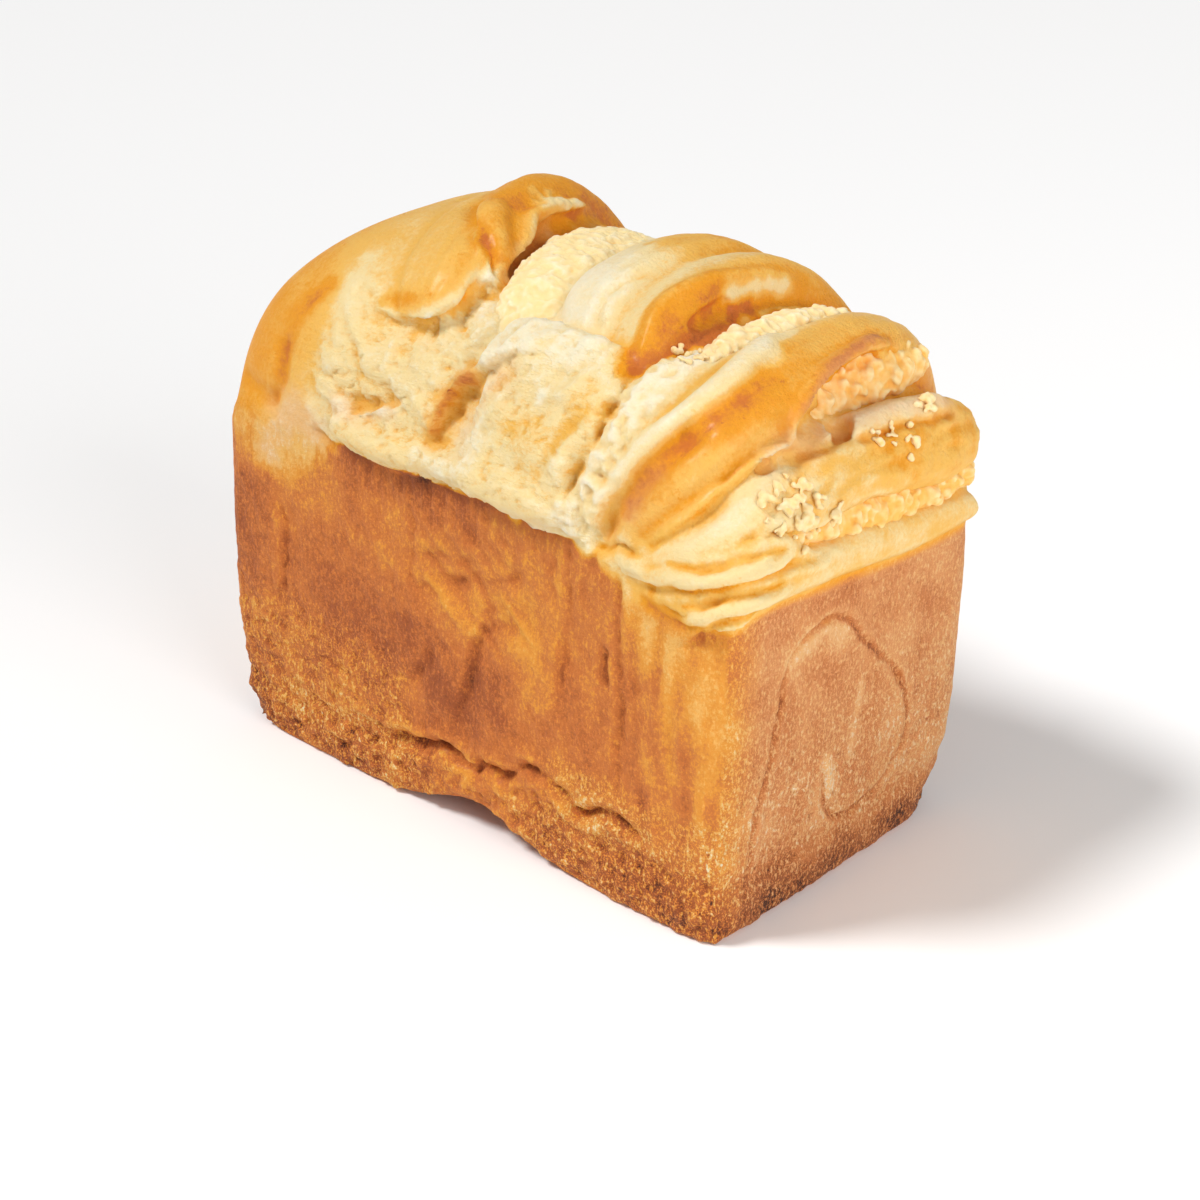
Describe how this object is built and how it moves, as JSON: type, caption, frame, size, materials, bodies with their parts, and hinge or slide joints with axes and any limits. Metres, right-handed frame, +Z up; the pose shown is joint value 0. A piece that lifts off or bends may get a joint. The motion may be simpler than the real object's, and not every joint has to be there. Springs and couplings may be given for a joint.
{
  "type": "coconut pull-apart loaf",
  "caption": "Tall tin-baked pull-apart loaf with straight brown walls, a crown of twisted glossy dough folds and crumbly coconut filling showing between the folds.",
  "frame": {"origin": "under the middle of the bounding box, on the plane the loaf rests on", "axes": "+X along the loaf towards the end that shows the roll line, +Y towards the back wall, +Z up"},
  "size_m": [0.1942, 0.1138, 0.1688],
  "materials": {
    "baked_dough": "baked crust: matt reddish brown walls, glossy golden orange fold tops and pale torn dough",
    "coconut_filling": "dry crumbly cream-coloured coconut paste"
  },
  "bodies": {
    "root": {"loaf": "baked_dough", "coconut_filling_back": "coconut_filling", "coconut_filling_middle": "coconut_filling", "coconut_filling_corner": "coconut_filling", "coconut_filling_end": "coconut_filling"}
  },
  "joints": []
}
